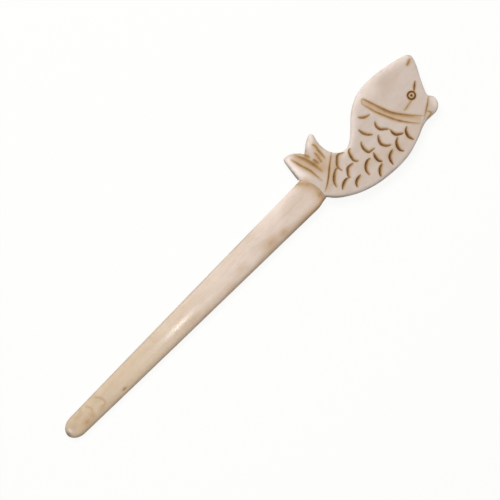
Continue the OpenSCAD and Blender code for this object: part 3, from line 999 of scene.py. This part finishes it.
def noise(tree, place, scale, detail=3, roughness=0.5):
    """Noise value at a place, with that many features in a metre."""
    inputs = {"Vector": place, "Scale": scale, "Detail": detail, "Roughness": roughness}
    return put(tree, "ShaderNodeTexNoise", inputs).outputs["Fac"]


def stretch(tree, place, factors):
    """A place scaled by its own factor along each axis."""
    inputs = {"Vector": place, "Scale": factors}
    return put(tree, "ShaderNodeMapping", inputs).outputs["Vector"]


def ramp(tree, value, low, high, easing="SMOOTHSTEP"):
    """A value brought from low..high to 0..1."""
    inputs = {"Value": value, "From Min": low, "From Max": high}
    return put(tree, "ShaderNodeMapRange", inputs, interpolation_type=easing).outputs["Result"]


def new_group(name, inputs, outputs):
    """An empty shader node group with named sockets, and its two end nodes."""
    group = bpy.data.node_groups.new(name, "ShaderNodeTree")
    for label, kind, default in inputs:
        socket = group.interface.new_socket(label, in_out="INPUT", socket_type=kind)
        socket.default_value = default
    for label, kind in outputs:
        group.interface.new_socket(label, in_out="OUTPUT", socket_type=kind)
    return group, group.nodes.new("NodeGroupInput").outputs, group.nodes.new("NodeGroupOutput").inputs


COLOUR = "NodeSocketColor"
VALUE = "NodeSocketFloat"


def bone_tissue_group():
    """Mottling, grain and pores of cut bone, which run along the blade."""
    group, given, result = new_group(
        "bone_tissue",
        [
            ("Pale", COLOUR, (0.7, 0.6, 0.5, 1)),
            ("Deep", COLOUR, (0.5, 0.4, 0.3, 1)),
            ("Fleck", COLOUR, (0.3, 0.2, 0.1, 1)),
            ("Mottle", VALUE, 0.5),
            ("Pores", VALUE, 0.5),
            ("Rough low", VALUE, 0.3),
            ("Rough high", VALUE, 0.5),
        ],
        [("Color", COLOUR), ("Roughness", VALUE), ("Height", VALUE)],
    )
    place = put(group, "ShaderNodeTexCoord").outputs["Object"]
    cloud = ramp(group, noise(group, stretch(group, place, (0.55, 1, 1)), 150, 4, 0.55), 0.38, 0.68)
    fine_cloud = noise(group, stretch(group, place, (0.6, 1, 1)), 620, 4, 0.6)
    streak = noise(group, stretch(group, place, (0.05, 1, 1)), 1500, 3, 0.6)
    fleck_place = stretch(group, place, (0.16, 1, 1))
    fleck = ramp(group, noise(group, fleck_place, 3400, 2, 0.5), 0.66, 0.74)
    mottled = blend_colours(
        group, calc(group, "MULTIPLY", cloud, given["Mottle"]), given["Pale"], given["Deep"]
    )
    tone = ramp(group, fine_cloud, 0.2, 0.8)
    speckled = blend_colours(
        group, calc(group, "MULTIPLY", tone, 0.22), mottled, given["Deep"]
    )
    streaked = blend_colours(
        group, calc(group, "MULTIPLY", ramp(group, streak, 0.45, 0.8), 0.3), speckled, given["Deep"]
    )
    fleck_amount = calc(group, "MULTIPLY", fleck, given["Pores"])
    group.links.new(blend_colours(group, fleck_amount, streaked, given["Fleck"]), result["Color"])
    spread = calc(group, "SUBTRACT", given["Rough high"], given["Rough low"])
    uneven = calc(group, "ADD", calc(group, "MULTIPLY", tone, 0.6), calc(group, "MULTIPLY", streak, 0.4))
    roughness = calc(group, "MULTIPLY_ADD", uneven, spread, given["Rough low"])
    group.links.new(roughness, result["Roughness"])
    grain = calc(group, "ADD", calc(group, "MULTIPLY", streak, 0.35), calc(group, "MULTIPLY", tone, 0.4))
    group.links.new(calc(group, "SUBTRACT", grain, calc(group, "MULTIPLY", fleck_amount, 0.8)), result["Height"])
    return group


def rubbed_stain_group():
    """Brown stain rubbed over a surface: ragged where it is thin, and dark where it lies deep."""
    group, given, result = new_group(
        "rubbed_stain",
        [
            ("Surface", COLOUR, (0.7, 0.6, 0.5, 1)),
            ("Pale stain", COLOUR, (0.4, 0.25, 0.1, 1)),
            ("Dark stain", COLOUR, (0.15, 0.06, 0.02, 1)),
            ("Amount", VALUE, 0.0),
            ("Strength", VALUE, 1.0),
        ],
        [("Color", COLOUR), ("Mask", VALUE)],
    )
    place = put(group, "ShaderNodeTexCoord").outputs["Object"]
    broad = noise(group, place, 420, 3, 0.6)
    fine = noise(group, place, 2100, 3, 0.65)
    breakup = calc(group, "ADD", calc(group, "MULTIPLY", broad, 0.55), calc(group, "MULTIPLY", fine, 0.35))
    amount = calc(group, "MULTIPLY", given["Amount"], calc(group, "ADD", breakup, 0.55))
    soaked = calc(group, "MULTIPLY", ramp(group, amount, 0.02, 0.62, "LINEAR"), given["Strength"])
    pale = blend_colours(group, soaked, given["Surface"], given["Pale stain"])
    deep = calc(group, "MULTIPLY", ramp(group, amount, 0.42, 1.08), given["Strength"])
    group.links.new(blend_colours(group, deep, pale, given["Dark stain"]), result["Color"])
    group.links.new(soaked, result["Mask"])
    return group


def handled_edge_and_light_group():
    """Paler, smoother bone where hands have rubbed the edges, with a little dirt in patches, painted highlight in
    places and near-black painted shade along edges.
    """
    group, given, result = new_group(
        "handled_edge_and_light",
        [
            ("Surface", COLOUR, (0.7, 0.6, 0.5, 1)),
            ("Edge", VALUE, 0.0),
            ("Dirt", VALUE, 0.4),
            ("Painted edge shade", VALUE, 0.0),
            ("Pale and highlight", VALUE, 0.0),
        ],
        [("Color", COLOUR), ("Polish", VALUE)],
    )
    place = put(group, "ShaderNodeTexCoord").outputs["Object"]
    patch = ramp(group, noise(group, place, 330, 3, 0.6), 0.42, 0.72)
    # Pale bone and painted highlight, with the paler rubbed edges.
    rubbed = calc(group, "MAXIMUM", calc(group, "MULTIPLY", given["Edge"], 0.18), given["Pale and highlight"])
    paler = blend_colours(group, rubbed, given["Surface"], (0.88, 0.77, 0.70, 1))
    dirt = calc(group, "MULTIPLY", calc(group, "MULTIPLY", patch, given["Edge"]), given["Dirt"])
    dirty = blend_colours(group, dirt, paler, (0.33, 0.23, 0.14, 1))
    # Painted shade: near-black colour along the shaded edges.
    edge_shaded = calc(group, "MULTIPLY", given["Painted edge shade"], calc(group, "MULTIPLY_ADD", patch, 0.3, 0.75), clamp=True)
    group.links.new(blend_colours(group, edge_shaded, dirty, (0.06, 0.045, 0.032, 1)), result["Color"])
    group.links.new(calc(group, "MULTIPLY", given["Edge"], 0.5), result["Polish"])
    return group


def shared_group(name, maker):
    """A node group that is made once and then used by every finish that needs it."""
    return bpy.data.node_groups.get(name) or maker()


def use_group(tree, name, maker, inputs):
    made = tree.nodes.new("ShaderNodeGroup")
    made.node_tree = shared_group(name, maker)
    for label, value in inputs.items():
        if isinstance(value, bpy.types.NodeSocket):
            tree.links.new(value, made.inputs[label])
        else:
            made.inputs[label].default_value = value
    return made.outputs


def new_material(name):
    """An empty material with a Principled shader, and that shader."""
    material = bpy.data.materials.new(name)
    material.use_nodes = True
    tree = material.node_tree
    tree.nodes.clear()
    shader = tree.nodes.new("ShaderNodeBsdfPrincipled")
    out = tree.nodes.new("ShaderNodeOutputMaterial")
    tree.links.new(shader.outputs[0], out.inputs[0])
    return material, tree, shader


def attribute(tree, name):
    return put(tree, "ShaderNodeAttribute", attribute_name=name).outputs["Fac"]


def opaque(rgb):
    return (*rgb, 1)


def finish_bone(tree, shader, pale, deep, finish, settings):
    """Links one kind of bone: tissue, then stain in the cuts, then handling along the edges with painted highlight and
    painted edge shade.
    """
    tissue = use_group(
        tree,
        "bone_tissue",
        bone_tissue_group,
        {
            "Pale": pale,
            "Deep": deep,
            "Fleck": opaque(finish.vein),
            "Mottle": settings["mottle"],
            "Pores": settings["pores"],
            "Rough low": settings["rough"][0],
            "Rough high": settings["rough"][1],
        },
    )
    edge = attribute(tree, "edge")
    handled = use_group(
        tree,
        "handled_edge_and_light",
        handled_edge_and_light_group,
        {
            "Surface": tissue["Color"],
            "Edge": edge,
            "Dirt": settings["dirt"],
            "Painted edge shade": attribute(tree, "painted_edge_shade"),
            "Pale and highlight": attribute(tree, "pale_and_highlight"),
        },
    )
    stained = use_group(
        tree,
        "rubbed_stain",
        rubbed_stain_group,
        {
            "Surface": handled["Color"],
            "Pale stain": opaque(finish.stain_pale),
            "Dark stain": opaque(finish.stain_dark),
            "Amount": attribute(tree, "stain"),
            "Strength": settings["stain"],
        },
    )
    tree.links.new(stained["Color"], shader.inputs["Base Color"])
    dulled = calc(tree, "MULTIPLY_ADD", stained["Mask"], 0.25, tissue["Roughness"])
    smoothed = calc(tree, "SUBTRACT", dulled, calc(tree, "MULTIPLY", handled["Polish"], 0.1), clamp=True)
    tree.links.new(smoothed, shader.inputs["Roughness"])
    coat = calc(tree, "MULTIPLY", calc(tree, "SUBTRACT", 1.0, stained["Mask"], clamp=True), finish.polish)
    tree.links.new(coat, shader.inputs["Coat Weight"])
    inputs = {"Height": tissue["Height"], "Strength": settings["bump"], "Distance": 0.00006}
    bump = put(tree, "ShaderNodeBump", inputs)
    tree.links.new(bump.outputs["Normal"], shader.inputs["Normal"])
    shader.inputs["Coat Roughness"].default_value = settings["coat_rough"]
    shader.inputs["IOR"].default_value = 1.54
    shader.inputs["Subsurface Weight"].default_value = 0.22
    shader.inputs["Subsurface Radius"].default_value = (1.0, 0.62, 0.4)
    shader.inputs["Subsurface Scale"].default_value = 0.0012


def fish_bone_material(finish):
    material, tree, shader = new_material("fish_bone")
    settings = {
        "mottle": 0.4, "pores": 0.35, "rough": (0.36, 0.58), "dirt": 0.35, "stain": 1.0, "bump": 0.5,
        "coat_rough": 0.3,
    }
    finish_bone(tree, shader, opaque(finish.fish_pale), opaque(finish.fish_deep), finish, settings)
    return material


def blade_bone_material(finish):
    """Bone that turns yellower towards the tip."""
    material, tree, shader = new_material("blade_bone")
    place = put(tree, "ShaderNodeTexCoord").outputs["Object"]
    along = put(tree, "ShaderNodeSeparateXYZ", {0: place}).outputs["X"]
    wander = calc(tree, "MULTIPLY_ADD", noise(tree, place, 60, 3, 0.5), 0.03, along)
    towards_root = ramp(tree, wander, BLADE_LOW[0] * MM * 0.55, SEAM_X * MM * 0.5)
    pale = blend_colours(tree, towards_root, opaque(finish.tip_pale), opaque(finish.root_pale))
    settings = {
        "mottle": 0.32, "pores": 0.3, "rough": (0.3, 0.46), "dirt": 0.2, "stain": 0.75, "bump": 0.12,
        "coat_rough": 0.17,
    }
    finish_bone(tree, shader, pale, opaque(finish.blade_deep), finish, settings)
    return material


def stain_material(finish):
    """Dried brown stain: matt, darker where it is thick."""
    material, tree, shader = new_material("dried_stain")
    place = put(tree, "ShaderNodeTexCoord").outputs["Object"]
    patches = ramp(tree, noise(tree, place, 900, 4, 0.6), 0.3, 0.75)
    stained = use_group(
        tree,
        "rubbed_stain",
        rubbed_stain_group,
        {
            "Surface": opaque(finish.fish_deep),
            "Pale stain": opaque(finish.stain_pale),
            "Dark stain": opaque(finish.film_dark),
            "Amount": attribute(tree, "stain"),
            "Strength": 1.0,
        },
    )
    tree.links.new(stained["Color"], shader.inputs["Base Color"])
    tree.links.new(calc(tree, "MULTIPLY_ADD", patches, 0.2, 0.6), shader.inputs["Roughness"])
    bump = put(tree, "ShaderNodeBump", {"Height": patches, "Strength": 0.5, "Distance": 0.00003})
    tree.links.new(bump.outputs["Normal"], shader.inputs["Normal"])
    return material


def bamboo_material(finish):
    """Split bamboo with fine fibres along the peg."""
    material, tree, shader = new_material("split_bamboo")
    place = put(tree, "ShaderNodeTexCoord").outputs["Object"]
    fibre = noise(tree, stretch(tree, place, (0.03, 1, 1)), 2600, 4, 0.6)
    cell = ramp(tree, noise(tree, stretch(tree, place, (0.08, 1, 1)), 5200, 2, 0.5), 0.55, 0.72)
    mixed = blend_colours(tree, ramp(tree, fibre, 0.35, 0.7), opaque(finish.bamboo_pale), opaque(finish.bamboo_dark))
    dotted = blend_colours(tree, calc(tree, "MULTIPLY", cell, 0.5), mixed, opaque(finish.bamboo_dark))
    tree.links.new(dotted, shader.inputs["Base Color"])
    tree.links.new(calc(tree, "MULTIPLY_ADD", fibre, 0.3, 0.5), shader.inputs["Roughness"])
    bump = put(tree, "ShaderNodeBump", {"Height": fibre, "Strength": 0.6, "Distance": 0.00008})
    tree.links.new(bump.outputs["Normal"], shader.inputs["Normal"])
    return material


def floor_material(stage):
    """A plain pale floor that looks evenly lit, with only a faint shadow on it."""
    material, tree, shader = new_material("plain_floor")
    shader.inputs["Base Color"].default_value = opaque(stage.floor_colour)
    shader.inputs["Roughness"].default_value = 0.9
    glow = put(tree, "ShaderNodeEmission", {"Color": (1, 1, 0.985, 1), "Strength": 1.0})
    seen = put(tree, "ShaderNodeLightPath").outputs["Is Camera Ray"]
    amount = calc(tree, "MULTIPLY", seen, stage.floor_glow)
    mixed = put(tree, "ShaderNodeMixShader", {0: amount, 1: shader.outputs[0], 2: glow.outputs[0]})
    out = next(node for node in tree.nodes if node.type == "OUTPUT_MATERIAL")
    tree.links.new(mixed.outputs[0], out.inputs[0])
    return material


# ---------------------------------------------------------------------------------------------
# Operators
# ---------------------------------------------------------------------------------------------


class BONE_OT_set_stage(bpy.types.Operator):
    """Adds the floor, the soft lights and the camera"""

    bl_idname = "bone_folder.set_stage"
    bl_label = "Set the Stage"

    def execute(self, context):
        stage = context.scene.folder_stage
        self.add_floor(context, stage)
        self.add_lights(context, stage)
        self.add_camera(context, stage)
        context.scene.view_settings.view_transform = "Standard"
        return {"FINISHED"}

    def add_floor(self, context, stage):
        half = 2.5
        mesh = bpy.data.meshes.new("floor")
        mesh.from_pydata([(-half, -half, 0), (half, -half, 0), (half, half, 0), (-half, half, 0)], [], [(0, 1, 2, 3)])
        mesh.materials.append(floor_material(stage))
        floor = bpy.data.objects.new("floor", mesh)
        context.scene.collection.objects.link(floor)

    def add_lights(self, context, stage):
        world = bpy.data.worlds.new("soft fill")
        world.use_nodes = True
        background = world.node_tree.nodes["Background"]
        background.inputs["Color"].default_value = (1, 1, 1, 1)
        background.inputs["Strength"].default_value = stage.fill
        context.scene.world = world
        middle = Vector(((BLADE_LOW[0] + FISH_HIGH[0]) / 2 * MM, 0, 0))
        key = self.add_lamp(context, "key", stage.key_power, 0.5, middle + Vector((0.2, 0.48, 0.85)), middle)
        key.visible_glossy = False
        glint = Vector((-0.0345, -0.00105, 0.004))
        lamp_place = glint + Vector((-0.0052, -0.0003, 0.1))
        self.add_lamp(context, "overhead", stage.lamp_power, 0.008, lamp_place, glint)

    def add_lamp(self, context, name, power, size, place, target):
        data = bpy.data.lights.new(name, "AREA")
        data.shape = "DISK"
        data.size = size
        data.energy = power
        lamp = bpy.data.objects.new(name, data)
        lamp.location = place
        lamp.rotation_mode = "QUATERNION"
        lamp.rotation_quaternion = (target - place).to_track_quat("-Z", "Y")
        lamp.visible_camera = False
        context.scene.collection.objects.link(lamp)
        return lamp

    def view_centre(self):
        low, high = CAD_BOX
        return Vector(((low.x + high.x) / 2 + 1.62 * MM, (low.y + high.y) / 2 + 0.92 * MM, 0))

    def add_camera(self, context, stage):
        data = bpy.data.cameras.new("camera")
        data.sensor_width = 36
        above_face = stage.camera_height - FISH_TOP * MM
        data.lens = data.sensor_width * above_face / stage.view_width
        data.clip_start = 0.05
        data.clip_end = 20
        camera = bpy.data.objects.new("camera", data)
        camera.location = self.view_centre() + Vector((0, 0, stage.camera_height))
        camera.rotation_euler = (0, 0, stage.view_turn)
        context.scene.collection.objects.link(camera)
        context.scene.camera = camera


class BONE_OT_add_blade(bpy.types.Operator):
    """Adds the tapering bone blade, with its rounded seam end and peg hole"""

    bl_idname = "bone_folder.add_blade"
    bl_label = "Add the Blade"

    def execute(self, context):
        scene = context.scene
        blade = build_blade(scene.folder_blade, blade_bone_material(scene.folder_finish))
        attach(blade, "root")
        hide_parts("blade")
        return {"FINISHED"}


class BONE_OT_carve_fish(bpy.types.Operator):
    """Adds the carved fish and the stain film in each group of its cuts"""

    bl_idname = "bone_folder.carve_fish"
    bl_label = "Carve the Fish"

    def execute(self, context):
        scene = context.scene
        carving = scene.folder_carving
        face = CarvedFace(carving)
        fish = build_fish(face, carving, fish_bone_material(scene.folder_finish))
        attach(fish, "root")
        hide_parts("fish_finial")
        stain = stain_material(scene.folder_finish)
        for node in face.cuts:
            build_film(node.replace("pigment", "stain"), node, face, carving.film / MM, stain)
        return {"FINISHED"}


class BONE_OT_finish_peg(bpy.types.Operator):
    """Gives the hidden peg its bamboo"""

    bl_idname = "bone_folder.finish_peg"
    bl_label = "Finish the Peg"

    def execute(self, context):
        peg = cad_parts["joint_peg"]
        peg.data.materials.clear()
        peg.data.materials.append(bamboo_material(context.scene.folder_finish))
        return {"FINISHED"}


class BONE_PT_folder(bpy.types.Panel):
    """Steps and settings of the bone folder"""

    bl_idname = "BONE_PT_folder"
    bl_label = "Bone Folder"
    bl_space_type = "VIEW_3D"
    bl_region_type = "UI"
    bl_category = "Bone Folder"

    def draw(self, context):
        layout = self.layout
        for operator in OPERATORS:
            layout.operator(operator.bl_idname)
        for name in SETTINGS:
            group = getattr(context.scene, name)
            section = layout.box()
            for key in group.bl_rna.properties.keys():
                if key not in ("name", "rna_type"):
                    section.prop(group, key)


OPERATORS = (BONE_OT_set_stage, BONE_OT_add_blade, BONE_OT_carve_fish, BONE_OT_finish_peg)
SETTINGS = {
    "folder_stage": StageSettings,
    "folder_blade": BladeSettings,
    "folder_carving": CarvingSettings,
    "folder_finish": FinishSettings,
}
CLASSES = (*SETTINGS.values(), *OPERATORS, BONE_PT_folder)


def register():
    for cls in CLASSES:
        bpy.utils.register_class(cls)
    for name, group in SETTINGS.items():
        setattr(bpy.types.Scene, name, PointerProperty(type=group))


def unregister():
    for name in SETTINGS:
        delattr(bpy.types.Scene, name)
    for cls in reversed(CLASSES):
        bpy.utils.unregister_class(cls)


def main():
    """Registers the add-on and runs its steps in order."""
    register()
    bpy.ops.bone_folder.set_stage()
    bpy.ops.bone_folder.add_blade()
    bpy.ops.bone_folder.carve_fish()
    bpy.ops.bone_folder.finish_peg()


if __name__ == "__main__":
    main()
